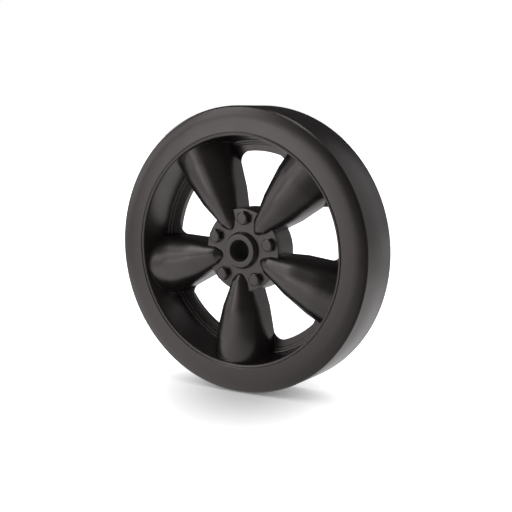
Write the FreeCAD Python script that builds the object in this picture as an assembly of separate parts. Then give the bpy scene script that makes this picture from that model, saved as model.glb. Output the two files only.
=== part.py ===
import FreeCAD, Part
import math
import os

from FreeCAD import Vector

# One-piece moulded spoked wheel. The axle lies along Y, the styled front face looks
# towards -Y, and the origin is on the axle's line in the middle of the width.
# Depths are measured backwards from the front face; lengths are in millimetres.

# Tyre ring
wheel_diameter = 200.0
wheel_width = 40.0
face_width = 17.9            # front sidewall, from tread to groove
face_flat = 8.7              # flat inner part of the sidewall, before it rolls back in two cones
crown_width = 4.4
crown_drop = 0.7
shoulder_width = 1.1         # bevel between the sidewall and the tread
shoulder_front_depth = 1.9
shoulder_back_depth = 3.5
rear_drop = 0.8              # rear edge of the tread stands this far inside the width
rear_bevel = 1.8             # and slopes over this depth
tread_wall = 4.2
face_wall = 4.6
pocket_rib_count = 10
pocket_rib_thickness = 2.4
pocket_rib_setback = 3.0     # ribs stop this far below the rear face

# Lip, barrel and stepped flange
groove_width = 0.9
groove_depth = 0.7
lip_width = 1.9
lip_drop = 1.5
lip_break = 0.25             # share of the lip's width and drop at its rounded corner
barrel_depth = 24.8
barrel_taper = 2.9
barrel_wall = 4.6
step_width = 1.6
step_height = 1.5
flange_width = 4.8
flange_thickness = 4.4

# Hub
bore_diameter = 15.0
bore_chamfer = 0.5
collar_depth = 5.0           # front of the collar
collar_diameter = 26.0
collar_step_depth = 2.2      # ledge round the collar, behind its front
collar_step_width = 1.3
lug_face_depth = 9.0
lug_disc_diameter = 58.2
lug_disc_edge = 4.0          # depth of the disc's sloping rim
lug_plate = 4.4              # thickness of the plate that carries the nuts
hub_flare = 0.5              # hub wall stands this far outside the disc's front edge
hub_wall = 3.4
boss_wall = 5.8              # moulded tube round the bore, behind the plate

# Dummy lug nuts
nut_circle_diameter = 45.6
nut_front_depth = 5.0
nut_across_flats = 8.6
nut_face_diameter = 6.8
nut_chamfer_height = 1.2
nut_chamfer_sides = 12
nut_sink = 0.5               # root of each nut inside the plate

# Spokes: a blunt-nosed half ogive in front of straight walls
spoke_count = 5
first_spoke_angle = 48.9     # turn of the wheel on its axle, from +X towards +Z
spoke_tip_reach = 15.6
spoke_nose_reach = 17.3      # bend between the blunt tip and the nose's slope
spoke_nose_half_width = 3.1
spoke_root_reach = 21.5      # where the nose runs into the long flank
spoke_root_half_width = 6.6
spoke_middle_reach = 52.0
spoke_middle_half_width = 18.1
spoke_end_half_width = 23.2
spoke_root_axis_depth = 11.1
spoke_end_axis_depth = 25.8
window_corner_radius = 8.0
foot_end_half_width = 25.6   # plate that widens each spoke's back towards the barrel
foot_thickness = 1.2
spoke_wall = 3.3
spoke_hollow_reach = 34.0    # hollow behind each spoke starts here
spoke_hollow_gap = 2.4       # and ends this far inside the barrel
spoke_rib_thickness = 2.6
spoke_rib_setback = 1.5

flank_chords = 3             # cones that make up the round flank, which keeps its facets few

overlap = 1.0                # how far joined forms run into each other
bite = 0.1                   # how far a blend runs past the faces it is tangent to

tread_radius = wheel_diameter / 2
half_width = wheel_width / 2
face_radius = tread_radius - face_width
lip_outer_radius = face_radius - groove_width
barrel_front_radius = lip_outer_radius - lip_width
barrel_back_radius = barrel_front_radius - barrel_taper
barrel_outer_radius = barrel_front_radius + barrel_wall
flange_depth = barrel_depth + 2 * step_height
spoke_back_depth = flange_depth + foot_thickness
flange_outer_radius = barrel_back_radius - 2 * step_width
flange_back_depth = flange_depth + flange_thickness
window_radius = flange_outer_radius - flange_width
bore_radius = bore_diameter / 2
boss_radius = bore_radius + boss_wall
collar_radius = collar_diameter / 2
lug_disc_radius = lug_disc_diameter / 2
plate_back_depth = lug_face_depth + lug_plate
hub_radius = lug_disc_radius + hub_flare
spoke_end_reach = barrel_front_radius
axis_rise = spoke_end_axis_depth - spoke_root_axis_depth
axis_tilt = math.atan2(axis_rise, spoke_end_reach - spoke_root_reach)

AXLE = Vector(0, 1, 0)
ORIGIN = Vector(0, 0, 0)


def at(along, depth, across=0):
    """Point by its distance from the axle along a spoke, its depth and its offset across."""
    return Vector(along, depth - half_width, across)


def turned(corners):
    """Solid of revolution about the axle from (radius, depth) corners."""
    points = [at(radius, depth) for radius, depth in corners]
    return Part.Face(Part.makePolygon(points + points[:1])).revolve(ORIGIN, AXLE, 360)


def around(shape, angle):
    """Copy of a shape made along +X, turned about the axle from +X towards +Z."""
    copy = shape.copy()
    copy.rotate(ORIGIN, AXLE, -angle)
    return copy


def ring_of(shape, count, angle):
    return [around(shape, angle + 360 / count * index) for index in range(count)]


def disc(radius, front_depth, back_depth):
    return Part.makeCylinder(radius, back_depth - front_depth, at(0, front_depth), AXLE)


def plate(start_reach, end_reach, front_depth, back_depth, thickness):
    """Flat radial plate along +X, as ribs are."""
    corner = at(start_reach, front_depth, -thickness / 2)
    return Part.makeBox(end_reach - start_reach, back_depth - front_depth, thickness, corner)


def tyre_ring():
    """Tyre, lip, barrel and flange in one turned section, with the tyre's rear pocket open."""
    pocket_outer = tread_radius - tread_wall
    rear_edge = wheel_width - rear_drop
    step_inner_radius = barrel_back_radius - step_width
    step_back_depth = barrel_depth + step_height
    return turned([
        (face_radius, 0),
        (face_radius - groove_width / 2, groove_depth),
        (lip_outer_radius, 0),
        (barrel_front_radius + lip_width * lip_break, lip_drop * lip_break),
        (barrel_front_radius, lip_drop),
        (barrel_back_radius, barrel_depth),
        (step_inner_radius, barrel_depth),
        (step_inner_radius, step_back_depth),
        (flange_outer_radius, step_back_depth),
        (flange_outer_radius, flange_depth),
        (window_radius, flange_depth),
        (window_radius, flange_back_depth),
        (barrel_back_radius, flange_back_depth),
        (barrel_back_radius, wheel_width),
        (barrel_outer_radius, wheel_width),
        (barrel_outer_radius, face_wall),
        (pocket_outer, face_wall),
        (pocket_outer, rear_edge),
        (tread_radius, rear_edge - rear_bevel),
        (tread_radius, shoulder_back_depth),
        (tread_radius - shoulder_width, shoulder_front_depth),
        (face_radius + face_flat + crown_width, crown_drop),
        (face_radius + face_flat, 0),
    ])


def pocket_ribs():
    """Radial ribs that stiffen the tyre's rear pocket."""
    inner_reach = barrel_outer_radius - overlap
    outer_reach = tread_radius - tread_wall + overlap
    rib = plate(inner_reach, outer_reach, face_wall - overlap, wheel_width - pocket_rib_setback,
                pocket_rib_thickness)
    half_pitch = 180 / pocket_rib_count
    return ring_of(rib, pocket_rib_count, first_spoke_angle + half_pitch)


def hub():
    """Stepped collar, nut disc and hub wall with the bore, in one turned section."""
    rim_back_depth = lug_face_depth + lug_disc_edge
    ledge_depth = collar_depth + collar_step_depth
    collar_face_radius = collar_radius - collar_step_width
    return turned([
        (bore_radius, collar_depth + bore_chamfer),
        (bore_radius + bore_chamfer, collar_depth),
        (collar_face_radius, collar_depth),
        (collar_face_radius, ledge_depth),
        (collar_radius, ledge_depth),
        (collar_radius, lug_face_depth),
        (lug_disc_radius, lug_face_depth),
        (hub_radius, rim_back_depth),
        (hub_radius, spoke_back_depth),
        (boss_radius, spoke_back_depth),
        (boss_radius, wheel_width),
        (bore_radius, wheel_width),
    ])


def hub_pocket():
    """Ring-shaped hollow between the hub wall and the tube round the bore, open at the back."""
    outer = hub_radius - hub_wall
    open_end = wheel_width + overlap
    return turned([
        (boss_radius, plate_back_depth),
        (outer, plate_back_depth),
        (outer, open_end),
        (boss_radius, open_end),
    ])


def block(first, last):
    """Flat-faced solid between two polygons with as many corners, given as lists of points."""
    faces = [Part.Face(Part.makePolygon(corners + corners[:1])) for corners in (first, last)]
    for index in range(len(first)):
        corners = [first[index - 1], first[index], last[index], last[index - 1]]
        faces.append(Part.Face(Part.makePolygon(corners + corners[:1])))
    return Part.Solid(Part.Shell(faces))


def regular_polygon(centre, across_flats, sides):
    """Corners of a regular polygon across the axle's direction."""
    corner_radius = across_flats / 2 / math.cos(math.pi / sides)
    turns = [2 * math.pi / sides * index for index in range(sides)]
    return [centre + Vector(math.cos(turn), 0, math.sin(turn)) * corner_radius for turn in turns]


def nut():
    """Hexagon with a broad chamfer round its flat end, on the nut circle along +X."""
    front = at(nut_circle_diameter / 2, nut_front_depth)
    height = lug_face_depth + nut_sink - nut_front_depth
    back = front + AXLE * height
    corner_diameter = nut_across_flats / math.cos(math.pi / 6)
    slope = (corner_diameter - nut_face_diameter) / nut_chamfer_height
    root_diameter = nut_face_diameter + slope * height
    hexagon = block(regular_polygon(front, nut_across_flats, 6), regular_polygon(back, nut_across_flats, 6))
    chamfer = block(regular_polygon(front, nut_face_diameter, nut_chamfer_sides),
                    regular_polygon(back, root_diameter, nut_chamfer_sides))
    return hexagon.common(chamfer)


def along_axis(reach):
    """Distance along the ogive's sloping axis, from the root."""
    return (reach - spoke_root_reach) / math.cos(axis_tilt)


def axis_depth(reach):
    return spoke_root_axis_depth + (reach - spoke_root_reach) * math.tan(axis_tilt)


def flank_circle():
    """Circle of the ogive's flank, through three half widths, as (along its axis, half width)."""
    return Part.Circle(
        Vector(0, spoke_root_half_width, 0),
        Vector(along_axis(spoke_middle_reach), spoke_middle_half_width, 0),
        Vector(along_axis(spoke_end_reach), spoke_end_half_width, 0),
    )


def spoke_profile():
    """Points from the ogive's tip to its end, as (along its axis, half width), with the flank in chords."""
    flank = flank_circle()
    to_root = Vector(0, spoke_root_half_width, 0) - flank.Center
    to_end = Vector(along_axis(spoke_end_reach), spoke_end_half_width, 0) - flank.Center
    turn = math.degrees(to_root.getAngle(to_end))
    normal = to_root.cross(to_end)
    steps = [FreeCAD.Rotation(normal, turn * index / flank_chords) for index in range(flank_chords + 1)]
    tip = Vector(along_axis(spoke_tip_reach), 0, 0)
    nose = Vector(along_axis(spoke_nose_reach), spoke_nose_half_width, 0)
    return [tip, nose] + [flank.Center + step.multVec(to_root) for step in steps]


def ogive():
    """Front half of the ogive, flat at the back along its sloping axis."""
    edge = [Vector(point.x, 0, point.y) for point in spoke_profile()]
    foot = Vector(edge[-1].x, 0, 0)
    profile = Part.Face(Part.makePolygon(edge + [foot, edge[0]]))
    body = profile.revolve(ORIGIN, Vector(1, 0, 0), 180)
    body.rotate(ORIGIN, Vector(0, 0, 1), math.degrees(axis_tilt))
    body.translate(at(spoke_root_reach, spoke_root_axis_depth))
    return body


def on_axis_plane(point, side):
    """Place of a profile point on the plane of the ogive's flat back, on one side of its axis."""
    reach = spoke_root_reach + point.x * math.cos(axis_tilt)
    return at(reach, axis_depth(reach), side * point.y)


def web():
    """Straight walls that carry the ogive's outline from its flat back to the spoke's back."""
    profile = spoke_profile()
    left = [on_axis_plane(point, 1) for point in profile]
    right = [on_axis_plane(point, -1) for point in reversed(profile[1:])]
    outline = left + right
    prism = Part.Face(Part.makePolygon(outline + outline[:1])).extrude(AXLE * wheel_width)
    return prism.common(disc(tread_radius, 0, spoke_back_depth))


def spoke_foot():
    """Thin plate at the back that widens a spoke's outer end and rounds the windows' corners."""
    last_bend = on_axis_plane(spoke_profile()[-2], 1)
    flank = Vector(last_bend.x, last_bend.z - bite, 0)
    outer = Vector(spoke_end_reach, foot_end_half_width, 0)
    along = (outer - flank).normalize()
    outward = Vector(-along.y, along.x, 0)
    start = flank + outward * (window_corner_radius - bite)
    centre_reach = window_radius + bite - window_corner_radius
    run = math.sqrt(centre_reach ** 2 - start.Length ** 2 + start.dot(along) ** 2) - start.dot(along)
    centre = start + along * run
    to_rim = Vector(centre).normalize()
    on_flank = centre - outward * window_corner_radius
    through = centre + (to_rim - outward).normalize() * window_corner_radius
    on_rim = centre + to_rim * window_corner_radius
    inside_rim = on_rim + to_rim * overlap

    def upper(point):
        return at(point.x, flange_depth, point.y)

    def lower(point):
        return at(point.x, flange_depth, -point.y)

    outline = Part.Wire([
        Part.makeLine(upper(flank), upper(on_flank)),
        Part.Arc(upper(on_flank), upper(through), upper(on_rim)).toShape(),
        Part.makeLine(upper(on_rim), upper(inside_rim)),
        Part.Arc(upper(inside_rim), at(inside_rim.Length, flange_depth), lower(inside_rim)).toShape(),
        Part.makeLine(lower(inside_rim), lower(on_rim)),
        Part.Arc(lower(on_rim), lower(through), lower(on_flank)).toShape(),
        Part.makeLine(lower(on_flank), lower(flank)),
        Part.makeLine(lower(flank), upper(flank)),
    ])
    return Part.Face(outline).extrude(AXLE * foot_thickness)


def spoke():
    """Solid spoke along +X, ended inside the barrel's wall."""
    limit = disc(barrel_front_radius + overlap, 0, wheel_width)
    return ogive().fuse([web()]).common(limit)


def spoke_rib():
    """Plate down the middle of a spoke's hollow and across the hub's pocket."""
    return plate(boss_radius - overlap, barrel_front_radius, 0, spoke_back_depth - spoke_rib_setback,
                 spoke_rib_thickness)


def hollow_section(reach, half_width):
    """Corners of a spoke's hollow across its length: straight walls behind half a hexagon."""
    roof_depth = axis_depth(reach) - half_width * math.sin(math.pi / 3)
    open_end = flange_back_depth + overlap
    left = [(open_end, half_width), (axis_depth(reach), half_width), (roof_depth, half_width / 2)]
    right = [(depth, -across) for depth, across in reversed(left)]
    return [at(reach, depth, across) for depth, across in left + right]


def spoke_hollow():
    """Flat-faced hollow behind a spoke, open at the back, with its rib left standing."""
    flank = flank_circle()
    to_start = along_axis(spoke_hollow_reach) - flank.Center.x
    start_half_width = flank.Center.y + math.sqrt(flank.Radius ** 2 - to_start ** 2)
    limit = disc(barrel_back_radius - spoke_hollow_gap, 0, wheel_width)
    hollow = block(hollow_section(spoke_hollow_reach, start_half_width - spoke_wall),
                   hollow_section(spoke_end_reach, spoke_end_half_width - spoke_wall))
    return hollow.common(limit).cut([spoke_rib()])


def wheel():
    """The whole moulding: every form joined, then the rear hollows taken out."""
    half_pitch = 180 / spoke_count
    spokes = ring_of(spoke(), spoke_count, first_spoke_angle)
    feet = ring_of(spoke_foot(), spoke_count, first_spoke_angle)
    nuts = ring_of(nut(), spoke_count, first_spoke_angle + half_pitch)
    solid = tyre_ring().fuse([hub()] + spokes + feet + nuts + pocket_ribs())
    hub_hollow = hub_pocket().cut(ring_of(spoke_rib(), spoke_count, first_spoke_angle))
    hollows = ring_of(spoke_hollow(), spoke_count, first_spoke_angle)
    return solid.cut([hub_hollow] + hollows).removeSplitter()


os.makedirs("parts", exist_ok=True)
body = wheel()
print("solids", len(body.Solids), "valid", body.isValid(), "volume", round(body.Volume), "faces", len(body.Faces))
body.Solids[0].exportStep("parts/wheel.step")
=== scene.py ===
import math

import bpy
from mathutils import Matrix, Vector


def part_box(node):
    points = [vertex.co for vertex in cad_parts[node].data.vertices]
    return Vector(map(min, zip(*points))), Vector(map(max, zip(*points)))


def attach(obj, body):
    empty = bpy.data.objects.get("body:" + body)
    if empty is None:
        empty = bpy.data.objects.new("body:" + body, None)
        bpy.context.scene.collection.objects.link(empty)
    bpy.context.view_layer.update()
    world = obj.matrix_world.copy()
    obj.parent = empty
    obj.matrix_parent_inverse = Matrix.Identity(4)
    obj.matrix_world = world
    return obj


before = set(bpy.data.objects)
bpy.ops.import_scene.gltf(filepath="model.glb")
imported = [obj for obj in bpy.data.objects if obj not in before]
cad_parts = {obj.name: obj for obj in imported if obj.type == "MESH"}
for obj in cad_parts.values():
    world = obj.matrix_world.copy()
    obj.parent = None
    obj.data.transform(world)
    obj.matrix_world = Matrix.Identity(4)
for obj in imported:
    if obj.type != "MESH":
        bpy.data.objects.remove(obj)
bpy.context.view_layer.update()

# A one-piece moulded plastic wheel on a white studio floor. Lengths are in metres, and the
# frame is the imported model's own: axle along Y, front towards -Y, +Z up. Azimuths are in degrees,
# from 0 in front of the wheel to 90 on its +X side. Left and right are as seen from the front.
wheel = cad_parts["wheel"]
wheel_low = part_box("wheel")[0]
FRONT = wheel_low.y
FLOOR_HEIGHT = wheel_low.z

# Camera, fitted to the wheel's circles in the photograph
IMAGE_SIZE = 512
FOCAL_PIXELS = 1050.0
SENSOR_MM = 36.0
VIEW_AZIMUTH = 32.03
VIEW_ELEVATION = 7.88
VIEW_DISTANCE = 0.7239
VIEW_RIGHT = 0.01435
VIEW_UP = -0.00297
CLIP_START = 0.01

# Edges of the moulding
WELD_DISTANCE = 0.00001
EDGE_ROUNDING = 0.0003
EDGE_SEGMENTS = 2
EDGE_ANGLE = math.radians(31)

# Sloping side of the collar, over the step between its face and its ledge; depths are from the front
SLOPE_FACE_RADIUS = 0.01135
SLOPE_LEDGE_RADIUS = 0.0128
SLOPE_FACE_DEPTH = 0.00502
SLOPE_LEDGE_DEPTH = 0.00725
SLOPE_BACK_DEPTH = 0.0076
SLOPE_STEPS = 96

# Finish of the plastic: two close blacks and a satin gloss in soft patches, and a fine grain
PLASTIC_DARK = (0.0115, 0.0091, 0.0091, 1)
PLASTIC_LIGHT = (0.0165, 0.0130, 0.0130, 1)
TINT_SIZE = 0.03
TINT_DETAIL = 3
PLASTIC_IOR = 1.49
SHEEN_TINT = (1.0, 0.9, 0.895, 1)
SHEEN_LEVEL = 1.0
ROUGHNESS_LOW = 0.27
ROUGHNESS_HIGH = 0.33
ROUGHNESS_SIZE = 0.012
ROUGHNESS_DETAIL = 4
GRAIN_SIZE = 0.0005
GRAIN_DETAIL = 2
GRAIN_HEIGHT = 0.000008

# Rougher surface of the bore, within a radius from the axle
BORE_RADIUS = 0.0078
BORE_EDGE = 0.0002
BORE_ROUGHNESS = 0.85

# Slight crown of the tread, as a lean of its normal at either edge; depths are from the front
TREAD_RADIUS = 0.0995
TREAD_EDGE = 0.001
TREAD_FRONT = 0.0035
TREAD_BACK = 0.0382
CROWN_LEAN = 0.13

# Floor as the camera sees it: white, with a painted shadow in an oval round the contact, where the glow
# is dimmer, over the wheel's real shadow
WHITE = (1, 1, 1, 1)
FLOOR_COLOUR = (0.92, 0.92, 0.92, 1)
FLOOR_ROUGHNESS = 0.9
FLOOR_HALF_SIZE = 6.0
# painted shadow: the glow at the oval's centre, below white, darkens the floor there
PAINTED_SHADOW_GLOW = 0.09
PAINTED_SHADOW_OVAL = (0.122, 0.2, 1.0)
PAINTED_SHADOW_CENTRE = (0.007, -0.024)

# Floor as the gloss shows it, a painted reflection: to glossy rays the floor is a glow of its own, not
# the lit floor, where 1 is white: dark on the right, white on the left and dimmer farther out; on the
# right it is also white close behind the wheel and dimmer farther back
MIRRORED_RIGHT = 0.08
MIRRORED_LEFT = 1.0
MIRRORED_FAR_LEFT = 0.5
SWEEP_RIGHT = 0.22
SWEEP_LEFT = -0.15
FAR_LEFT_START = -0.3
FAR_LEFT_END = -0.6
MIRRORED_BEHIND = 1.0
MIRRORED_FAR_BEHIND = 0.6
BEHIND_LEFT = -0.06
BEHIND_RIGHT = 0.02
BEHIND_START = -0.05
BEHIND_END = 0.04
FAR_BEHIND_START = 0.12
FAR_BEHIND_END = 0.4

# Room round the wheel, where 1 is white: a dome for diffuse light, and a pale backdrop in the gloss
DOME_LEVEL = 0.72
ROOM_LEVEL = 0.04
BACKDROP_LEVEL = 0.46
BACKDROP_AZIMUTH = 150.0
BACKDROP_ELEVATION = 16.0
BACKDROP_WIDE = math.radians(36)
BACKDROP_FULL = math.radians(12)


def direction(azimuth, elevation):
    """Unit vector from the wheel towards an azimuth and elevation in degrees."""
    turn, rise = math.radians(azimuth), math.radians(elevation)
    return Vector((math.sin(turn) * math.cos(rise), -math.cos(turn) * math.cos(rise), math.sin(rise)))


def add_node(tree, kind, **inputs):
    """New node in a tree, with its named inputs set."""
    node = tree.nodes.new(kind)
    for name, value in inputs.items():
        node.inputs[name.replace("_", " ")].default_value = value
    return node


def noise(tree, vector, size, detail):
    """Noise whose features are about as large as a size in metres."""
    node = add_node(tree, "ShaderNodeTexNoise", Scale=1 / size, Detail=detail)
    tree.links.new(vector, node.inputs["Vector"])
    return node.outputs["Fac"]


def ranged(tree, value, start, end, low, high):
    """Value eased from one range to another."""
    node = add_node(tree, "ShaderNodeMapRange", From_Min=start, From_Max=end, To_Min=low, To_Max=high)
    node.interpolation_type = "SMOOTHSTEP"
    tree.links.new(value, node.inputs["Value"])
    return node.outputs["Result"]


def maths(tree, operation, first, second):
    """Result of an operation on two number sockets."""
    node = tree.nodes.new("ShaderNodeMath")
    node.operation = operation
    tree.links.new(first, node.inputs[0])
    tree.links.new(second, node.inputs[1])
    return node.outputs["Value"]


def vector_maths(tree, operation, first):
    """Node for an operation whose first vector comes from a socket."""
    node = tree.nodes.new("ShaderNodeVectorMath")
    node.operation = operation
    tree.links.new(first, node.inputs[0])
    return node


def length(tree, vector):
    """Length of a vector."""
    return vector_maths(tree, "LENGTH", vector).outputs["Value"]


def normalized(tree, vector):
    """Vector of the same direction with a length of 1."""
    return vector_maths(tree, "NORMALIZE", vector).outputs["Vector"]


def separated(tree, vector):
    """Outputs X, Y and Z of a vector."""
    node = tree.nodes.new("ShaderNodeSeparateXYZ")
    tree.links.new(vector, node.inputs["Vector"])
    return node.outputs


def facing(tree, vector, way):
    """Cosine of the angle between a vector and a fixed direction."""
    along = vector_maths(tree, "DOT_PRODUCT", normalized(tree, vector))
    along.inputs[1].default_value = way
    return along.outputs["Value"]


def axle_distance(tree, place):
    """Distance of a place from the axle."""
    across = vector_maths(tree, "MULTIPLY", place)
    across.inputs[1].default_value = (1, 0, 1)
    return length(tree, across.outputs["Vector"])


def crowned_normal(tree, place, radius):
    """Surface normal, made to lean outwards near the tread's edges as a slight crown does."""
    tread = ranged(tree, radius, TREAD_RADIUS - TREAD_EDGE, TREAD_RADIUS, 0, 1)
    depth = separated(tree, place)["Y"]
    lean = ranged(tree, depth, FRONT + TREAD_FRONT, FRONT + TREAD_BACK, -CROWN_LEAN, CROWN_LEAN)
    push = tree.nodes.new("ShaderNodeCombineXYZ")
    tree.links.new(maths(tree, "MULTIPLY", tread, lean), push.inputs["Y"])
    crowned = vector_maths(tree, "ADD", tree.nodes.new("ShaderNodeNewGeometry").outputs["Normal"])
    tree.links.new(push.outputs["Vector"], crowned.inputs[1])
    return normalized(tree, crowned.outputs["Vector"])


def plastic():
    """Black polypropylene: satin, with faint flow marks and the fine grain of the mould."""
    material = bpy.data.materials.new("black_polypropylene")
    material.use_nodes = True
    tree = material.node_tree
    shader = tree.nodes["Principled BSDF"]
    shader.inputs["IOR"].default_value = PLASTIC_IOR
    shader.inputs["Specular IOR Level"].default_value = SHEEN_LEVEL
    shader.inputs["Specular Tint"].default_value = SHEEN_TINT
    place = tree.nodes.new("ShaderNodeTexCoord").outputs["Object"]
    radius = axle_distance(tree, place)

    tint = tree.nodes.new("ShaderNodeMix")
    tint.data_type = "RGBA"
    tint.inputs["A"].default_value = PLASTIC_DARK
    tint.inputs["B"].default_value = PLASTIC_LIGHT
    tree.links.new(noise(tree, place, TINT_SIZE, TINT_DETAIL), tint.inputs["Factor"])
    tree.links.new(tint.outputs["Result"], shader.inputs["Base Color"])

    patches = noise(tree, place, ROUGHNESS_SIZE, ROUGHNESS_DETAIL)
    marks = ranged(tree, patches, 0, 1, ROUGHNESS_LOW, ROUGHNESS_HIGH)
    bore = ranged(tree, radius, BORE_RADIUS, BORE_RADIUS + BORE_EDGE, BORE_ROUGHNESS, 0)
    tree.links.new(maths(tree, "MAXIMUM", marks, bore), shader.inputs["Roughness"])

    grain = add_node(tree, "ShaderNodeBump", Strength=1.0, Distance=GRAIN_HEIGHT)
    tree.links.new(crowned_normal(tree, place, radius), grain.inputs["Normal"])
    tree.links.new(noise(tree, place, GRAIN_SIZE, GRAIN_DETAIL), grain.inputs["Height"])
    tree.links.new(grain.outputs["Normal"], shader.inputs["Normal"])
    return material


def smooth_faces():
    """Node group that shades every face smooth."""
    group = bpy.data.node_groups.new("smooth_faces", "GeometryNodeTree")
    group.interface.new_socket("Geometry", in_out="INPUT", socket_type="NodeSocketGeometry")
    group.interface.new_socket("Geometry", in_out="OUTPUT", socket_type="NodeSocketGeometry")
    start = group.nodes.new("NodeGroupInput")
    smooth = group.nodes.new("GeometryNodeSetShadeSmooth")
    end = group.nodes.new("NodeGroupOutput")
    group.links.new(start.outputs["Geometry"], smooth.inputs["Geometry"])
    group.links.new(smooth.outputs["Geometry"], end.inputs["Geometry"])
    return group


def collar_slope(finish):
    """Ring that sits in the collar's step and turns it into one sloping side."""
    section = [
        (SLOPE_FACE_RADIUS, SLOPE_FACE_DEPTH),
        (SLOPE_LEDGE_RADIUS, SLOPE_LEDGE_DEPTH),
        (SLOPE_LEDGE_RADIUS, SLOPE_BACK_DEPTH),
        (SLOPE_FACE_RADIUS, SLOPE_BACK_DEPTH),
    ]
    count = len(section)
    corners, faces = [], []
    for step in range(SLOPE_STEPS):
        turn = 2 * math.pi * step / SLOPE_STEPS
        here, following = step * count, (step + 1) % SLOPE_STEPS * count
        for corner, (radius, depth) in enumerate(section):
            after = (corner + 1) % count
            corners.append((radius * math.cos(turn), FRONT + depth, radius * math.sin(turn)))
            faces.append((here + corner, here + after, following + after, following + corner))
    mesh = bpy.data.meshes.new("collar_slope")
    mesh.from_pydata(corners, [], faces)
    mesh.materials.append(finish)
    mesh.shade_smooth()
    mesh.set_sharp_from_angle(angle=EDGE_ANGLE)
    ring = bpy.data.objects.new("collar_slope", mesh)
    bpy.context.collection.objects.link(ring)
    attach(ring, "root")


def dress_wheel(finish):
    """The CAD mesh keeps its form and gets small edge rounds, smooth shading and the plastic."""
    wheel.data.materials.clear()
    wheel.data.materials.append(finish)
    weld = wheel.modifiers.new("weld", "WELD")
    weld.merge_threshold = WELD_DISTANCE
    smooth = wheel.modifiers.new("smooth_faces", "NODES")
    smooth.node_group = smooth_faces()
    rounds = wheel.modifiers.new("edge_rounds", "BEVEL")
    rounds.width = EDGE_ROUNDING
    rounds.segments = EDGE_SEGMENTS
    rounds.limit_method = "ANGLE"
    rounds.angle_limit = EDGE_ANGLE
    rounds.use_clamp_overlap = False
    rounds.miter_outer = "MITER_ARC"
    normals = wheel.modifiers.new("flat_face_normals", "WEIGHTED_NORMAL")
    normals.keep_sharp = True


def floor_glow_with_painted_shadow(tree, place):
    """Glow that makes the floor white to the camera, and fades in an oval round the contact: a painted
    shadow, under which the wheel's real shadow also shows.
    """
    # painted shadow: the camera's glow is dimmer in this oval, darkening the floor beyond the real shadow
    painted_shadow_oval = add_node(tree, "ShaderNodeMapping", Location=(*PAINTED_SHADOW_CENTRE, FLOOR_HEIGHT),
                    Rotation=(0, 0, math.radians(VIEW_AZIMUTH)), Scale=PAINTED_SHADOW_OVAL)
    painted_shadow_oval.vector_type = "TEXTURE"
    tree.links.new(place, painted_shadow_oval.inputs["Vector"])
    painted_shadow_reach = length(tree, painted_shadow_oval.outputs["Vector"])
    camera_ray = tree.nodes.new("ShaderNodeLightPath").outputs["Is Camera Ray"]
    return maths(tree, "MULTIPLY", camera_ray, ranged(tree, painted_shadow_reach, 0, 1, PAINTED_SHADOW_GLOW, 1))


def painted_floor_reflection(tree, place):
    """Painted reflection: brightness of the floor's glow in the wheel's gloss, white on the left and
    behind, dark on the right.
    """
    axes = separated(tree, place)
    across, back = axes["X"], axes["Y"]
    left = maths(tree, "MULTIPLY",
                 ranged(tree, across, SWEEP_RIGHT, SWEEP_LEFT, MIRRORED_RIGHT, MIRRORED_LEFT),
                 ranged(tree, across, FAR_LEFT_START, FAR_LEFT_END, 1, MIRRORED_FAR_LEFT))
    near = maths(tree, "MULTIPLY",
                 ranged(tree, back, BEHIND_START, BEHIND_END, 0, 1),
                 ranged(tree, across, BEHIND_LEFT, BEHIND_RIGHT, 0, 1))
    far = ranged(tree, back, FAR_BEHIND_START, FAR_BEHIND_END, MIRRORED_BEHIND, MIRRORED_FAR_BEHIND)
    return maths(tree, "MAXIMUM", left, maths(tree, "MULTIPLY", near, far))


def floor():
    """White floor that keeps the wheel's shadow, with a painted shadow in an oval round the contact;
    glossy rays see a glow of its own.
    """
    half = FLOOR_HALF_SIZE
    corners = [(-half, -half), (half, -half), (half, half), (-half, half)]
    mesh = bpy.data.meshes.new("studio_floor")
    mesh.from_pydata([(x, y, FLOOR_HEIGHT) for x, y in corners], [], [(0, 1, 2, 3)])
    ground = bpy.data.objects.new("studio_floor", mesh)
    bpy.context.collection.objects.link(ground)
    material = bpy.data.materials.new("white_floor")
    material.use_nodes = True
    tree = material.node_tree
    shader = tree.nodes["Principled BSDF"]
    shader.inputs["Base Color"].default_value = FLOOR_COLOUR
    shader.inputs["Roughness"].default_value = FLOOR_ROUGHNESS
    shader.inputs["Specular IOR Level"].default_value = 0
    shader.inputs["Emission Color"].default_value = WHITE
    place = tree.nodes.new("ShaderNodeNewGeometry").outputs["Position"]
    tree.links.new(floor_glow_with_painted_shadow(tree, place), shader.inputs["Emission Strength"])
    # painted reflection: glossy rays see this glow instead of the lit floor
    floor_reflection_glow = tree.nodes.new("ShaderNodeEmission")
    tree.links.new(painted_floor_reflection(tree, place), floor_reflection_glow.inputs["Strength"])
    either = tree.nodes.new("ShaderNodeMixShader")
    tree.links.new(tree.nodes.new("ShaderNodeLightPath").outputs["Is Glossy Ray"], either.inputs["Fac"])
    tree.links.new(shader.outputs["BSDF"], either.inputs[1])
    tree.links.new(floor_reflection_glow.outputs["Emission"], either.inputs[2])
    tree.links.new(either.outputs["Shader"], tree.nodes["Material Output"].inputs["Surface"])
    mesh.materials.append(material)


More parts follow.
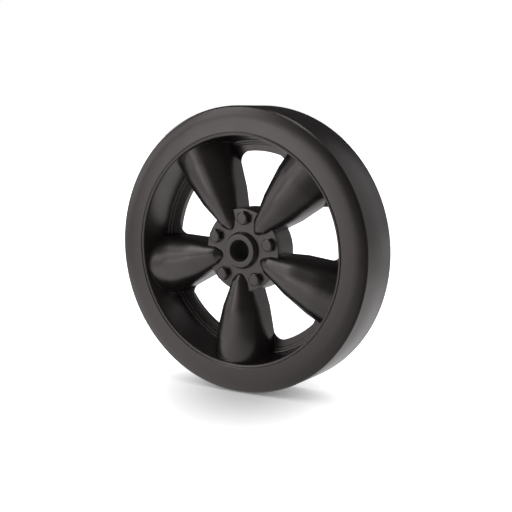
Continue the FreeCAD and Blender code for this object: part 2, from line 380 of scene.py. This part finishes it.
def studio_world():
    """White backdrop to the camera, a pale one behind the wheel in its gloss, a dim room and a dome."""
    world = bpy.data.worlds.new("studio")
    bpy.context.scene.world = world
    world.use_nodes = True
    tree = world.node_tree
    background = tree.nodes["Background"]
    background.inputs["Color"].default_value = WHITE
    way = tree.nodes.new("ShaderNodeTexCoord").outputs["Generated"]
    towards = facing(tree, way, direction(BACKDROP_AZIMUTH, BACKDROP_ELEVATION))
    edge, full = math.cos(BACKDROP_WIDE), math.cos(BACKDROP_FULL)
    backdrop = ranged(tree, towards, edge, full, ROOM_LEVEL, BACKDROP_LEVEL)
    rays = tree.nodes.new("ShaderNodeLightPath").outputs
    dome = ranged(tree, rays["Is Diffuse Ray"], 0, 1, 0, DOME_LEVEL)
    brightness = maths(tree, "MAXIMUM", maths(tree, "MAXIMUM", rays["Is Camera Ray"], backdrop), dome)
    tree.links.new(brightness, background.inputs["Strength"])


def softbox(name, azimuth, elevation, distance, size, level, in_gloss=True):
    """Square lamp that looks at the wheel, with its brightness to the eye; either the gloss
    shows it or it gives diffuse light, so that the softboxes at the side leave no shadow on the floor."""
    way = direction(azimuth, elevation)
    data = bpy.data.lights.new(name, "AREA")
    data.size = size
    data.energy = level * math.pi * size ** 2
    lamp = bpy.data.objects.new(name, data)
    lamp.location = way * distance
    lamp.rotation_euler = way.to_track_quat("Z", "Y").to_euler()
    lamp.visible_glossy = in_gloss
    lamp.visible_diffuse = not in_gloss
    bpy.context.collection.objects.link(lamp)


def lamps():
    """Softboxes left of the front, a hair light above and behind, and a soft diffuse light overhead."""
    softbox("key", azimuth=328, elevation=5, distance=1.3, size=0.4, level=2.1)
    softbox("front_key", azimuth=346, elevation=10, distance=1.3, size=0.36, level=1.0)
    softbox("left_key", azimuth=299, elevation=10, distance=1.3, size=0.46, level=1.25)
    softbox("high_key", azimuth=320, elevation=28, distance=1.3, size=0.5, level=1.8)
    softbox("fill", azimuth=310, elevation=50, distance=1.4, size=0.55, level=2.6)
    softbox("side", azimuth=262, elevation=8, distance=1.3, size=1.0, level=1.2)
    softbox("hair", azimuth=150, elevation=80, distance=1.2, size=0.5, level=3.0)
    softbox("overhead", azimuth=0, elevation=90, distance=1.1, size=1.8, level=0.35, in_gloss=False)


def camera():
    """Camera at the photograph's angle, aimed beside the wheel as the photograph's frame is."""
    back = direction(VIEW_AZIMUTH, VIEW_ELEVATION)
    right = direction(VIEW_AZIMUTH + 90, 0)
    up = back.cross(right)
    place = Vector((0, FRONT, 0)) + back * VIEW_DISTANCE + right * VIEW_RIGHT + up * VIEW_UP
    data = bpy.data.cameras.new("camera")
    data.sensor_width = SENSOR_MM
    data.lens = FOCAL_PIXELS / IMAGE_SIZE * SENSOR_MM
    data.clip_start = CLIP_START
    view = bpy.data.objects.new("camera", data)
    bpy.context.collection.objects.link(view)
    view.matrix_world = Matrix.Translation(place) @ Matrix((right, up, back)).transposed().to_4x4()
    bpy.context.scene.camera = view


black_plastic = plastic()
dress_wheel(black_plastic)
collar_slope(black_plastic)
floor()
studio_world()
lamps()
camera()
bpy.context.scene.view_settings.view_transform = "Standard"
